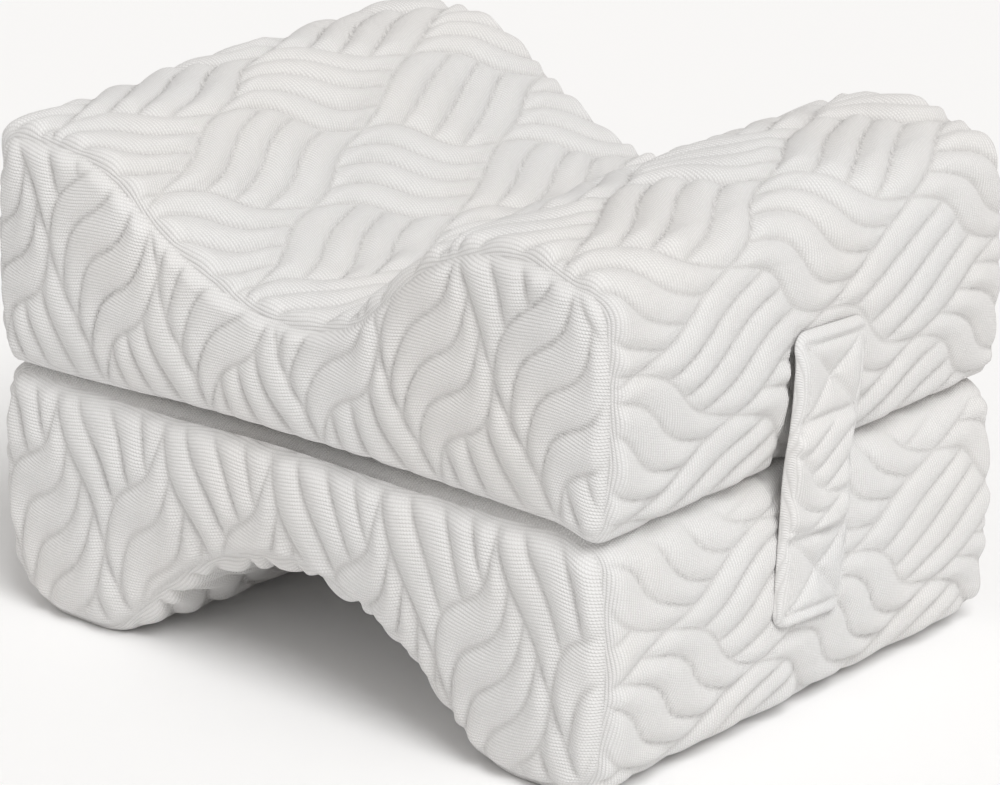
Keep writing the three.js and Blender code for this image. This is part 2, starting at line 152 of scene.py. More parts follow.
class Outline:
    """The pad seen from the front, from the split's right edge over the saddle to its left."""

    REACH = 1.5 * MM

    def __init__(self, pad):
        small, right, left = pad["split_corner"], pad["right_corner"], pad["left_corner"]
        right_top, left_top = pad["right_top"], pad["left_top"]
        bow = HALF_WIDTH + 2 * SIDE_CROWN
        right_arc = arc((HALF_WIDTH - right, right_top - right), right, 0, 90)
        left_arc = arc((left - HALF_WIDTH, left_top - left), left, 90, 180)
        right_low = arc((HALF_WIDTH - small, small), small, -90, 0)
        left_low = arc((small - HALF_WIDTH, small), small, 180, 270)
        right_side = bowed(right_low[-1], (bow, right_top / 2), right_arc[0])
        left_side = bowed(left_arc[-1], (-bow, left_top / 2), left_low[0])
        saddle = flowing(np.vstack([right_arc[-1:], np.array(pad["saddle"]) * MM]))
        parts = [right_low, right_side, right_arc, saddle, left_arc, left_side, left_low]
        points = np.vstack(parts)
        moved = np.r_[True, np.linalg.norm(np.diff(points, axis=0), axis=1) > 1e-7]
        self.points = points[moved]
        steps = np.linalg.norm(np.diff(self.points, axis=0), axis=1)
        self.along = np.r_[0, np.cumsum(steps)]
        self.length = self.along[-1]
        self.right_end = length_of(right_low) + length_of(right_side) + length_of(right_arc) / 2
        left_part = length_of(left_low) + length_of(left_side) + length_of(left_arc) / 2
        self.left_start = self.length - left_part

    def at(self, distance):
        x, height = (np.interp(distance, self.along, column) for column in self.points.T)
        return np.column_stack([x, height])

    def outward(self, distance):
        step = self.at(distance + self.REACH) - self.at(distance - self.REACH)
        step /= np.linalg.norm(step, axis=1)[:, None]
        return np.column_stack([step[:, 1], -step[:, 0]])

    def nearest(self, points):
        """How far flat points are from the closed outline."""
        start = self.points[::3]
        end = np.roll(start, -1, axis=0)
        best = np.full(len(points), np.inf)
        for p, q in zip(start, end):
            side = q - p
            share = np.clip(((points - p) @ side) / (side @ side), 0, 1)
            gap = points - p - share[:, None] * side
            best = np.minimum(best, (gap**2).sum(1))
        return np.sqrt(best)


for pad in PADS.values():
    pad["outline"] = Outline(pad)
print("cloth round a pad:", [round(pad["outline"].length, 4) for pad in PADS.values()])

# %% [markdown]
# A pad is made from a cube. The cube's six faces become the cloth's panels: right side, saddle and
# left side are one long wrap, the two ends are shaped panels sewn to it, and the face underneath
# is the split. Moving a cube's points is better than drawing faces by hand, because the mesh is
# closed from the start and every point still knows where it was on the cube.

# %% Where a cube's point lies on a pad
EDGE = 1 - 1e-4


def rim_at(pad, height):
    share = smoothstep(height, 0, SPLIT_RIM_REACH)
    return pad["split_rim"] + (pad["rim"] - pad["split_rim"]) * share


def wrap_depth(rim, along):
    """Where the wrap lies along Y, and how far its rounded rim has moved inwards there."""
    turn = np.maximum(0, SEAM_TURN - (HALF_DEPTH - np.abs(along)) / rim)
    share = np.minimum(1, np.abs(along) / (HALF_DEPTH - rim * SEAM_TURN))
    depth = np.sign(along) * ((HALF_DEPTH - rim) * share + rim * np.sin(turn))
    return depth, rim * (1 - np.cos(turn))


def on_wrap(pad, distance, along):
    middle = pad["outline"].at(distance)
    outward = pad["outline"].outward(distance)
    rim = rim_at(pad, middle[:, 1])
    depth, inset = wrap_depth(rim, along)
    crown = SADDLE_CROWN * np.maximum(0, outward[:, 1]) * (1 - (along / HALF_DEPTH) ** 2)
    place = middle + outward * (crown - inset)[:, None]
    return np.column_stack([place[:, 0], depth, place[:, 1]])


def on_split(pad, x, along):
    half = HALF_WIDTH - pad["split_corner"]
    bow = SPLIT_BOW * np.cos(math.pi / 2 * np.minimum(1, np.abs(x) / half)) ** 2
    depth, inset = wrap_depth(np.full(len(x), pad["split_rim"]), along)
    return np.column_stack([x, depth, bow + inset])


def wrap_distance(pad, cube):
    outline = pad["outline"]
    across, up = (cube[:, 0] + 1) / 2, (cube[:, 2] + 1) / 2
    right = outline.right_end * up
    left = outline.length - (outline.length - outline.left_start) * up
    saddle = outline.right_end + (outline.left_start - outline.right_end) * (1 - across)
    return np.where(cube[:, 0] > EDGE, right, np.where(cube[:, 0] < -EDGE, left, saddle))


def on_end(pad, cube):
    """The end panel is filled between its four edges, then rounded at the rim and crowned."""
    outline, seam = pad["outline"], np.full(len(cube), HALF_DEPTH)
    across, up = (cube[:, 0] + 1) / 2, (cube[:, 2] + 1) / 2
    half = HALF_WIDTH - pad["split_corner"]

    def edge(distance):
        return on_wrap(pad, distance, seam)[:, [0, 2]]

    right = edge(outline.right_end * up)
    left = edge(outline.length - (outline.length - outline.left_start) * up)
    top = edge(outline.right_end + (outline.left_start - outline.right_end) * (1 - across))
    low = on_split(pad, half * (2 * across - 1), seam)[:, [0, 2]]
    ends = np.array([outline.length, 0, outline.left_start, outline.right_end])
    corners = on_wrap(pad, ends, np.full(4, HALF_DEPTH))[:, [0, 2]]
    a, u = across[:, None], up[:, None]
    flat = (1 - u) * low + u * top + (1 - a) * left + a * right
    flat -= (1 - a) * (1 - u) * corners[0] + a * (1 - u) * corners[1]
    flat -= (1 - a) * u * corners[2] + a * u * corners[3]
    rim = rim_at(pad, flat[:, 1])
    from_edge = outline.nearest(flat)
    inset = np.minimum(from_edge, rim)
    rounding = rim - np.sqrt(rim**2 - (rim - inset) ** 2)
    middle = np.maximum(0, 1 - (flat[:, 0] / HALF_WIDTH) ** 2)
    crown = END_CROWN * middle * smoothstep(from_edge - SEAM_INSET * rim, 0, END_CROWN_REACH)
    depth = np.sign(cube[:, 1]) * (HALF_DEPTH - rounding + crown)
    return np.column_stack([flat[:, 0], depth, flat[:, 1]])


def in_frame(pad, place):
    """Turns x, y and the height above the split into a place in the frame."""
    z = SPLIT_HEIGHT + pad["up"] * (PAD_GAP / 2 + place[:, 2])
    return np.column_stack([place[:, 0] + PADS_MIDDLE, place[:, 1], np.maximum(z, 0)])


def pad_place(pad, cube):
    along = cube[:, 1] * HALF_DEPTH
    place = on_wrap(pad, wrap_distance(pad, cube), along)
    rim = (np.abs(cube[:, 0]) > EDGE) | (cube[:, 2] > EDGE)
    split = (cube[:, 2] < -EDGE) & ~rim
    end = (np.abs(cube[:, 1]) > EDGE) & ~rim & ~split
    half = HALF_WIDTH - pad["split_corner"]
    place[split] = on_split(pad, half * cube[split, 0], along[split])
    place[end] = on_end(pad, cube[end])
    return in_frame(pad, place)


# %% [markdown]
# The cube is cut into cells of about five millimetres, which is coarse enough for a quick cloth
# simulation. The flat face on the split is hidden between the pads, so its middle is merged into a
# few large faces, and the mesh stays small.

# %% Cage of a pad
CAGE_ACROSS = 57
CAGE_DEEP = 41
CAGE_UP = 15
SPLIT_BAND = 3
HIDDEN_ACROSS = 3
HIDDEN_DEEP = 5


def points_of(mesh):
    co = np.empty(len(mesh.vertices) * 3)
    mesh.vertices.foreach_get("co", co)
    return co.reshape(-1, 3)


def move_points(mesh, points):
    mesh.vertices.foreach_set("co", points.ravel())
    mesh.update()


def cut_cube(name, turned):
    bm = bmesh.new()
    bmesh.ops.create_cube(bm, size=2.0)
    for axis, pieces in enumerate((CAGE_ACROSS, CAGE_DEEP, CAGE_UP)):
        edges = [e for e in bm.edges if abs((e.verts[0].co - e.verts[1].co)[axis]) > 1e-6]
        bmesh.ops.subdivide_edges(bm, edges=edges, cuts=pieces - 1, use_grid_fill=True)
    reach = [1 - 2 * SPLIT_BAND / pieces for pieces in (CAGE_ACROSS, CAGE_DEEP)]
    hidden = {}
    for face in bm.faces:
        middle = face.calc_center_median()
        if middle.z < -EDGE and abs(middle.x) < reach[0] and abs(middle.y) < reach[1]:
            column = math.floor((middle.x / reach[0] + 1) / 2 * HIDDEN_ACROSS)
            row = math.floor((middle.y / reach[1] + 1) / 2 * HIDDEN_DEEP)
            hidden.setdefault((column, row), []).append(face)
    for faces in hidden.values():
        bmesh.ops.dissolve_faces(bm, faces=faces, use_verts=True)
    if turned:
        bmesh.ops.reverse_faces(bm, faces=list(bm.faces))
    mesh = bpy.data.meshes.new(name)
    bm.to_mesh(mesh)
    bm.free()
    return mesh


def make_cage(name, pad):
    mesh = cut_cube(name, turned=pad["up"] < 0)
    cube = points_of(mesh)
    mesh.attributes.new("cube", "FLOAT_VECTOR", "POINT")
    mesh.attributes["cube"].data.foreach_set("vector", cube.ravel())
    move_points(mesh, pad_place(pad, cube))
    cage = bpy.data.objects.new(name, mesh)
    bpy.context.scene.collection.objects.link(cage)
    print(name, "cage:", len(mesh.vertices), "points,", len(mesh.polygons), "faces")
    return cage


# %% [markdown]
# The foam presses the cover outwards between its seams. A short cloth simulation with pressure
# finds that swell: the seams and the flat face on the split are pinned, the rest may move, and the
# move is capped at 1.4 millimetres, because firm foam fills its cover tightly.

# %% Swell of the cover
SWELL_CAP = 1.4 * MM
SWELL_FRAMES = 20
PRESSURE = 4.0
CLOTH_QUALITY = 5
CLOTH_MASS = 0.3


def swell_of(cage):
    """How far each of the cage's points moves when the cover is blown up from inside."""
    rest = points_of(cage.data)
    cube = np.empty(len(rest) * 3)
    cage.data.attributes["cube"].data.foreach_get("vector", cube)
    cube = cube.reshape(-1, 3)
    rim = (np.abs(cube[:, 0]) > EDGE) | (cube[:, 2] > EDGE)
    held = (cube[:, 2] < -EDGE) | ((np.abs(cube[:, 1]) > EDGE) & rim)
    pins = cage.vertex_groups.new(name="pins")
    pins.add(np.flatnonzero(held).tolist(), 1.0, "REPLACE")
    modifier = cage.modifiers.new("cloth", "CLOTH")
    cloth = modifier.settings
    cloth.quality = CLOTH_QUALITY
    cloth.mass = CLOTH_MASS
    cloth.use_pressure = True
    cloth.uniform_pressure_force = PRESSURE
    cloth.vertex_group_mass = "pins"
    cloth.effector_weights.gravity = 0.0
    scene = bpy.context.scene
    for number in range(1, SWELL_FRAMES + 1):
        scene.frame_set(number)
    seen = cage.evaluated_get(bpy.context.evaluated_depsgraph_get())
    moved = points_of(seen.data) - rest
    cage.modifiers.remove(modifier)
    cage.vertex_groups.remove(pins)
    scene.frame_set(1)
    far = np.linalg.norm(moved, axis=1)
    kept = SWELL_CAP * np.tanh(far / SWELL_CAP)
    mean, most = round(far.mean() / MM, 2), round(far.max() / MM, 2)
    print(cage.name, "swell: mean", mean, "most", most, "mm")
    return moved * (kept / np.maximum(far, TINY))[:, None]


# %% [markdown]
# Two rounds of subdivision turn the cage's five-millimetre cells into cells of a little over one
# millimetre, fine enough for the ribs of the quilting. Subdivision alone would shrink the rounded
# rims, so each fine point is put back on the pad's true form, and only the swell is taken from the
# smoothed cage.

# %% Fine mesh of a pad
SUBDIVISIONS = 2


def subdivided(cage):
    modifier = cage.modifiers.new("smooth", "SUBSURF")
    modifier.levels = SUBDIVISIONS
    modifier.render_levels = SUBDIVISIONS
    graph = bpy.context.evaluated_depsgraph_get()
    mesh = bpy.data.meshes.new_from_object(
        cage.evaluated_get(graph), preserve_all_data_layers=True, depsgraph=graph
    )
    cage.modifiers.remove(modifier)
    return mesh


def fine_pad(name, pad):
    cage = make_cage(name + "_cage", pad)
    swell = swell_of(cage)
    fine = subdivided(cage)
    smooth_rest = points_of(fine)
    move_points(cage.data, points_of(cage.data) + swell)
    swollen = subdivided(cage)
    fine_swell = points_of(swollen) - smooth_rest
    cube = np.empty(len(fine.vertices) * 3, np.float32)
    fine.attributes["cube"].data.foreach_get("vector", cube)
    cube = cube.reshape(-1, 3).astype(float)
    move_points(fine, pad_place(pad, cube) + fine_swell)
    for spare in (cage.data, swollen):
        bpy.data.meshes.remove(spare)
    fine.name = name
    piece = bpy.data.objects.new("cover_" + name, fine)
    bpy.context.scene.collection.objects.link(piece)
    print(name, "fine mesh:", len(fine.vertices), "points")
    return piece, cube


# %% [markdown]
# The cover's quilting is a basket weave of ribs. Blocks of four ribs lean left and right by turns,
# and the ribs that lean one way are strongly waved. On a slanted grid of blocks, two numbers a and
# b count the blocks along the two leanings. A rib's height needs only these two numbers, so one
# short formula gives the relief here and the stitched creases in the material later.

# %% Quilting
BLOCK_LENGTH = 96.3 * MM
BLOCK_HEIGHT = 47.3 * MM
RIBS_IN_BLOCK = 4
CURLY_SWAY = 0.08
STRAIGHT_SWAY = 0.025
RIB_ROUNDNESS = 2.1
RIB_TAPER = 0.25
CLOTH_DRIFT = 1.1 * MM
DRIFT_LENGTH = 60 * MM
DRIFT_STRETCH = 1.3
DRIFT_STARTS = (0.7, 2.1)


def rib_rise(long, short):
    """1 on a rib's crest and 0 in the creases, for lengths along and across the cloth's repeat."""
    a = long / BLOCK_LENGTH + short / BLOCK_HEIGHT
    b = long / BLOCK_LENGTH - short / BLOCK_HEIGHT
    wavy = a - CURLY_SWAY * np.sin(2 * math.pi * b)
    plain = b - STRAIGHT_SWAY * np.sin(2 * math.pi * a)
    odd = (np.floor(wavy) + np.floor(plain)) % 2 > 0.5
    wavy, plain = wavy % 1, plain % 1
    across = np.where(odd, wavy, plain)
    along = np.where(odd, plain, wavy)
    off_crest = np.abs(2 * ((RIBS_IN_BLOCK * across) % 1) - 1)
    to_end = 1 - np.abs(2 * along - 1)
    taper = np.sqrt(smoothstep(to_end, 0, RIB_TAPER))
    return (1 - off_crest**RIB_ROUNDNESS) * taper


def on_cloth(repeat, long, short):
    """Lengths from the start of the repeat, which lies slightly turned and uneven on the pad."""
    start_long, start_short, slant = repeat
    long_turn, short_turn = (2 * math.pi * length / DRIFT_LENGTH for length in (long, short))
    first, second = DRIFT_STARTS
    long = long - start_long + CLOTH_DRIFT * np.sin(short_turn * DRIFT_STRETCH + first)
    short = short - start_short + CLOTH_DRIFT * np.sin(long_turn + second) * np.cos(short_turn)
    return np.column_stack([long, short - slant * long])


print("quilting blocks:", BLOCK_LENGTH, "by", BLOCK_HEIGHT, "with", RIBS_IN_BLOCK, "ribs each")


def cloth_lengths(pad, cube, place):
    """The cloth's long and short lengths at each point, as if on the wrap and as if on an end."""
    along = cube[:, 1] * HALF_DEPTH
    height = pad["up"] * (place[:, 2] - SPLIT_HEIGHT)
    side = np.sign(cube[:, 1])
    wrap = on_cloth(pad["wrap_repeat"], pad["up"] * along, wrap_distance(pad, cube))
    across = side * (place[:, 0] - PADS_MIDDLE)
    return wrap, on_cloth(pad["end_repeat"], pad["up"] * height, across)


# %% [markdown]
# The strap is sewn to both pads on the right side and presses their covers in. Its outline has to
# be known before the covers get their relief: it leans a little, dips into the groove between the
# pads and narrows downwards. Along its front side the cover stays hollow, so that the strap
# bridges a gap there, as the real one does.

# %% Where the strap presses
STRAP_WIDTH = 39 * MM
STRAP_LENGTH = 98 * MM
STRAP_LEAN = math.radians(4)
STRAP_DROP = 3 * MM
STRAP_DIP = 1.8 * MM
STRAP_DIP_REACH = 14 * MM
RIB_ROOM = 2.1 * MM
STRAP_BACK = HALF_WIDTH + SIDE_CROWN + RIB_ROOM + PADS_MIDDLE
STRAP_BACK_TOP = 0.91
STRAP_BACK_BOTTOM = 0.72
HOLLOW_DEPTH = 3.5 * MM
HOLLOW_SIDE = (2 * MM, 9 * MM)
HOLLOW_EDGE = (-1.5 * MM, 0.3 * MM)
HOLLOW_BOTTOM = (-14 * MM, 6 * MM)
HOLLOW_TOP = (39 * MM, 47 * MM)
STRAP_SIDE_START = 0.8 * HALF_WIDTH
PRESS_REACH = 3.5 * MM
FRONT_PRESS_REACH = 1.3 * MM
PRESS_CLEAR = 0.3 * MM


def strap_back(up):
    """Where the strap's back is, at a height above the strap's middle line."""
    return STRAP_BACK - STRAP_DIP * np.exp(-((up / STRAP_DIP_REACH) ** 2))


def strap_half(along):
    """The strap's half width on its back side, which narrows downwards."""
    down = np.clip(0.5 - along / STRAP_LENGTH, 0, 1)
    return STRAP_WIDTH / 2 * (STRAP_BACK_TOP + (STRAP_BACK_BOTTOM - STRAP_BACK_TOP) * down)


def press_under_strap(place):
    up = place[:, 2] - SPLIT_HEIGHT
    lean, turn = math.cos(STRAP_LEAN), math.sin(STRAP_LEAN)
    across = place[:, 1] * lean - (up + STRAP_DROP) * turn
    along = (up + STRAP_DROP) * lean + place[:, 1] * turn
    beside = np.maximum(-across - STRAP_WIDTH / 2, across - strap_half(along))
    outside = np.maximum(beside, np.abs(along) - STRAP_LENGTH / 2)
    reach = np.where(-across > STRAP_WIDTH / 2, FRONT_PRESS_REACH, PRESS_REACH)
    held = 1 - smoothstep(outside / reach, 0, 1)
    over = np.maximum(0, place[:, 0] - (strap_back(up) - PRESS_CLEAR))
    place[:, 0] -= held * over
    hollow = np.where(place[:, 0] > STRAP_SIDE_START, HOLLOW_DEPTH, 0)
    hollow *= smoothstep(-across, *HOLLOW_SIDE) * (1 - smoothstep(beside, *HOLLOW_EDGE))
    hollow *= smoothstep(along, *HOLLOW_BOTTOM) * (1 - smoothstep(along, *HOLLOW_TOP))
    place[:, 0] -= hollow


print("strap:", STRAP_WIDTH, "by", STRAP_LENGTH, "its back at", round(STRAP_BACK, 4))

# %% [markdown]
# Soft pads settle into each other. In the middle of the front both edges of the split ride a
# little higher, side by side, so one lift is worked out from the place alone and given to both.

# %% How the pads settle
SETTLE = 3.4 * MM
SETTLE_REACH = 32 * MM
SETTLE_LEFT = (-115 * MM, 0)
SETTLE_RIGHT = (106 * MM, 125 * MM)
SETTLE_BACK = (-0.8 * HALF_DEPTH, 0)


def settle(place):
    """Lifts both pads' edges together where the pads have settled into each other at the front."""
    across, height = place[:, 0], place[:, 2] - SPLIT_HEIGHT
    lift = SETTLE * smoothstep(across, *SETTLE_LEFT)
    lift *= 1 - smoothstep(across, *SETTLE_RIGHT)
    lift *= 1 - smoothstep(place[:, 1], *SETTLE_BACK)
    place[:, 2] += lift * np.exp(-((height / SETTLE_REACH) ** 2))


print("the split rides up to", SETTLE, "higher")

# %% [markdown]
# The relief is pressed into the fine mesh: every point moves along its normal by the rib's height.
# The ribs die out at the seams, where the cover is pinched, and along the split. The upper pad's
# lower edge has a thin sewn lip. Nothing may sink into the floor, the other pad or the strap, so
# the points that would are held back, as cloth is where it is pressed.

# %% Relief of a pad
QUILT_RISE = 2.2 * MM
UNEVEN_RISE = 0.22
SADDLE_RISE = 0.45
UNEVEN_LENGTH = 9 * MM
UNEVEN_WAVES = ((1, 0.6), (-0.5, 0.8))
SEAM_FADE = 4.5 * MM
FLOOR_FADE = 10 * MM
SEAM_PINCH = 0.6 * MM
SEAM_PINCH_WIDTH = 1.0 * MM
PINCH_START = (2 * MM, 6 * MM)
LIP_HEIGHT = 1.5 * MM
LIP_WIDTH = 1.3 * MM


def normals_of(mesh):
    normals = np.empty(len(mesh.vertices) * 3)
    mesh.vertices.foreach_get("normal", normals)
    return normals.reshape(-1, 3)


def quilt_pad(piece, pad, cube):
    mesh = piece.data
    place = points_of(mesh)
    wrap, end = cloth_lengths(pad, cube, place)
    on_the_end = np.abs(cube[:, 1]) > EDGE
    on_the_split = cube[:, 2] < -EDGE
    lengths = np.where(on_the_end[:, None], end, wrap)
    height = np.abs(place[:, 2] - SPLIT_HEIGHT)
    flat = np.column_stack([place[:, 0] - PADS_MIDDLE, height])
    from_seam = (1 - np.abs(cube[:, 1])) * HALF_DEPTH
    rim = rim_at(pad, height[on_the_end])
    from_edge = pad["outline"].nearest(flat[on_the_end])
    from_seam[on_the_end] = np.maximum(0, from_edge - SEAM_INSET * rim)
    fade = smoothstep(from_seam, 0, SEAM_FADE) * smoothstep(height, *pad["split_fade"])
    fade *= smoothstep(place[:, 2], 0, FLOOR_FADE)
    fade[on_the_split] = 0
    pinch = SEAM_PINCH * np.exp(-((from_seam / SEAM_PINCH_WIDTH) ** 2))
    pinch *= smoothstep(height, *PINCH_START)
    lip = pad["split_lip"] * np.exp(-(((height - LIP_HEIGHT) / LIP_WIDTH) ** 2))
    lip[on_the_split] = 0
    waves = np.sin(lengths / UNEVEN_LENGTH @ np.array(UNEVEN_WAVES).T)
    uneven = 1 + UNEVEN_RISE * waves.prod(axis=1)
    normals = normals_of(mesh)
    uneven *= 1 + SADDLE_RISE * np.maximum(0, pad["up"] * normals[:, 2])
    lift = QUILT_RISE * uneven * rib_rise(*lengths.T) * fade - pinch + lip
    for label, mask in (("quilted", fade), ("seam", pinch / SEAM_PINCH)):
        mesh.attributes.new(label, "FLOAT", "POINT").data.foreach_set("value", mask)
    place = place + normals * lift[:, None]
    place[:, 2] = np.maximum(place[:, 2], 0)
    gap = SPLIT_HEIGHT + pad["up"] * PAD_GAP / 2
    place[:, 2] = np.maximum(place[:, 2], gap) if pad["up"] > 0 else np.minimum(place[:, 2], gap)
    settle(place)
    press_under_strap(place)
    move_points(mesh, place)


# %% [markdown]
# The knit and the fine creases come from the material, which has to know where it is on the cloth.
# So the cloth's own lengths are written into a UV map, in metres. It is filled panel by panel,
# because two panels that meet at a seam were cut from different places of the cloth.

# %% Map of the cloth
def map_cloth(mesh, pad, cube):
    """Writes the cloth's lengths into the piece's UV map, panel by panel."""
    corner_points = np.empty(len(mesh.loops), np.int32)
    mesh.loops.foreach_get("vertex_index", corner_points)
    starts = np.empty(len(mesh.polygons), np.int32)
    mesh.polygons.foreach_get("loop_start", starts)
    counts = np.diff(np.r_[starts, len(mesh.loops)])
    face_of = np.repeat(np.arange(len(starts)), counts)
    middles = np.add.reduceat(cube[corner_points], starts, axis=0) / counts[:, None]
    on_the_end = (np.abs(middles[:, 1]) > EDGE)[face_of]
    place = points_of(mesh)
    wrap, end = cloth_lengths(pad, cube, place)
    on_the_split = (middles[:, 2] < -EDGE)[face_of]
    lengths = np.where(on_the_end[:, None], end[corner_points], wrap[corner_points])
    lengths[on_the_split] = place[corner_points[on_the_split], :2]
    layer = mesh.uv_layers.new(name="cloth")
    layer.data.foreach_set("uv", lengths.astype(np.float32).ravel())


# %% [markdown]
# Now both pads are made in turn: cage, swell, fine mesh, cloth lengths and relief. A cover must be
# a closed skin with its faces outwards, so each one's open edges and volume are printed.

# %% Make the pads
def open_edges(mesh):
    bm = bmesh.new()
    bm.from_mesh(mesh)
    count = sum(not edge.is_manifold for edge in bm.edges)
    bm.free()
    return count


def volume_of(mesh):
    """The space inside a closed mesh, which is above nought when its faces point outwards."""
    bm = bmesh.new()
    bm.from_mesh(mesh)
    volume = bm.calc_volume(signed=True)
    bm.free()
    return volume


pieces = {}
for name, pad in PADS.items():
    piece, cube = fine_pad(name, pad)
    map_cloth(piece.data, pad, cube)
    quilt_pad(piece, pad, cube)
    piece.data.attributes.remove(piece.data.attributes["cube"])
    piece.data.shade_smooth()
    pieces[name] = piece
    faces = sum(len(p.vertices) - 2 for p in piece.data.polygons)
    print(piece.name, "triangles:", faces, "open edges:", open_edges(piece.data))
    print(piece.name, "holds", round(volume_of(piece.data) * 1e6), "cubic centimetres")

# %% [markdown]
# The strap is a strip of the same quilted cloth, folded and sewn flat on both pads: a rolled hem
# at the top and the bottom, a narrow welt down its back side, and at each end a box of stitches
# with a cross that pulls its middle in. A flat grid gets the strip's rounded outline, is extruded
# once for its back, and its front is then raised into the hems, the fields between the stitches
# and the ribs. Its front side bridges a hollow over the upper half, which shows as a dark slit.

# %% Strap shape
STRAP_CORNER = 6 * MM
STRAP_CELL = 0.75 * MM
HEM = 4.4 * MM
WELT = 2.6 * MM
FRONT_SEAM = 4 * MM
BOX_HEIGHT = 25 * MM
STRAP_THIN = 0.6 * MM
EDGE_RISE = 1.5 * MM
FIELD_RISE = 2.2 * MM
SEAM_REACH = 1.7 * MM
CROSS_REACH = 2.2 * MM
CROSS_PULL = 1.5 * MM
CROSS_PULL_REACH = 8 * MM
STRAP_RIB_RISE = 1.9 * MM
STRAP_RIB_SCALE = 1.2
STRAP_EDGE_ROUND = 3.5 * MM
STRAP_REPEAT = (-28 * MM, 12 * MM, 0.0)
STRAP_LIFT = 1.7 * MM
LIFT_SIDE = (-2 * MM, STRAP_WIDTH / 2)
LIFT_BOTTOM = (-24 * MM, 4 * MM)
LIFT_TOP = (38 * MM, 49 * MM)
SEAM_SHARPNESS = 1.3
CROSS_PRESS = 0.85
FRONT_PRESS = 0.2
STRAP_RIB_START = 2 * MM
STRAP_RIB_END = 3 * MM
FRONT_X = FRONT_SEAM - STRAP_WIDTH / 2
BACK_X = STRAP_WIDTH / 2 - WELT
HEM_Y = STRAP_LENGTH / 2 - HEM
BOX_Y = HEM_Y - BOX_HEIGHT


def strap_place(across, along, proud):
    """Where a point of the strap lies, from its place on the flat strip and its height."""
    to_front = smoothstep(-across, *LIFT_SIDE)
    across = np.where(across > 0, across * strap_half(along) / (STRAP_WIDTH / 2), across)
    y = across * math.cos(STRAP_LEAN) + along * math.sin(STRAP_LEAN)
    up = along * math.cos(STRAP_LEAN) - across * math.sin(STRAP_LEAN) - STRAP_DROP
    lift = STRAP_LIFT * to_front * smoothstep(along, *LIFT_BOTTOM)
    lift = lift * (1 - smoothstep(along, *LIFT_TOP))
    return np.column_stack([strap_back(up) + lift + proud, y, SPLIT_HEIGHT + up])


def line_gap(across, along, start, end):
    """How far points are from a straight stitched line."""
    start, side = np.array(start), np.array(end) - np.array(start)
    from_start = np.column_stack([across, along]) - start
    share = np.clip(from_start @ side / (side @ side), 0, 1)
    return np.linalg.norm(from_start - share[:, None] * side, axis=1)


def edge_gap(across, along):
    """How far points are inside the strap's rounded edge."""
    dx = np.abs(across) - (STRAP_WIDTH / 2 - STRAP_CORNER)
    dy = np.abs(along) - (STRAP_LENGTH / 2 - STRAP_CORNER)
    beyond = np.hypot(np.maximum(dx, 0), np.maximum(dy, 0))
    return STRAP_CORNER - beyond - np.minimum(np.maximum(dx, dy), 0)


HEM_LINES = [((BACK_X, -HEM_Y), (BACK_X, HEM_Y))]
CROSS_LINES = []
FRONT_LINES = []
for end in (-1, 1):
    low, top = end * BOX_Y, end * HEM_Y
    HEM_LINES.append(((FRONT_X, low), (BACK_X, low)))
    HEM_LINES.append(((FRONT_X, top), (BACK_X, top)))
    FRONT_LINES.append(((FRONT_X, low), (FRONT_X, top)))
    CROSS_LINES.append(((FRONT_X, low), (BACK_X, top)))
    CROSS_LINES.append(((BACK_X, low), (FRONT_X, top)))


def pressed(across, along, lines, reach):
    """1 on a group of stitched lines and 0 a few millimetres away from them."""
    gaps = [line_gap(across, along, *line) for line in lines]
    return np.exp(-((np.min(gaps, axis=0) / reach) ** SEAM_SHARPNESS))


def strap_height(across, along):
    """How far the front of the strap stands above its back."""
    inside = edge_gap(across, along)
    edge = np.sqrt(1 - (1 - np.clip(inside / STRAP_EDGE_ROUND, 0, 1)) ** 2)
    field = 1 - pressed(across, along, HEM_LINES, SEAM_REACH)
    field *= 1 - CROSS_PRESS * pressed(across, along, CROSS_LINES, CROSS_REACH)
    field *= 1 - FRONT_PRESS * pressed(across, along, FRONT_LINES, SEAM_REACH)
    box_middle = (BOX_Y + HEM_Y) / 2
    off_centre = np.hypot(across - (FRONT_X + BACK_X) / 2, np.abs(along) - box_middle)
    pull = CROSS_PULL * np.exp(-((off_centre / CROSS_PULL_REACH) ** 2))
    lengths = STRAP_RIB_SCALE * on_cloth(STRAP_REPEAT, across, along)
    ribs = rib_rise(*lengths.T) * smoothstep(inside, 0, STRAP_RIB_START)
    ribs *= 1 - smoothstep(np.abs(along), BOX_Y - STRAP_RIB_END, BOX_Y)
    padding = (EDGE_RISE + FIELD_RISE * field) * edge
    return STRAP_THIN + padding + STRAP_RIB_RISE * ribs * field - pull


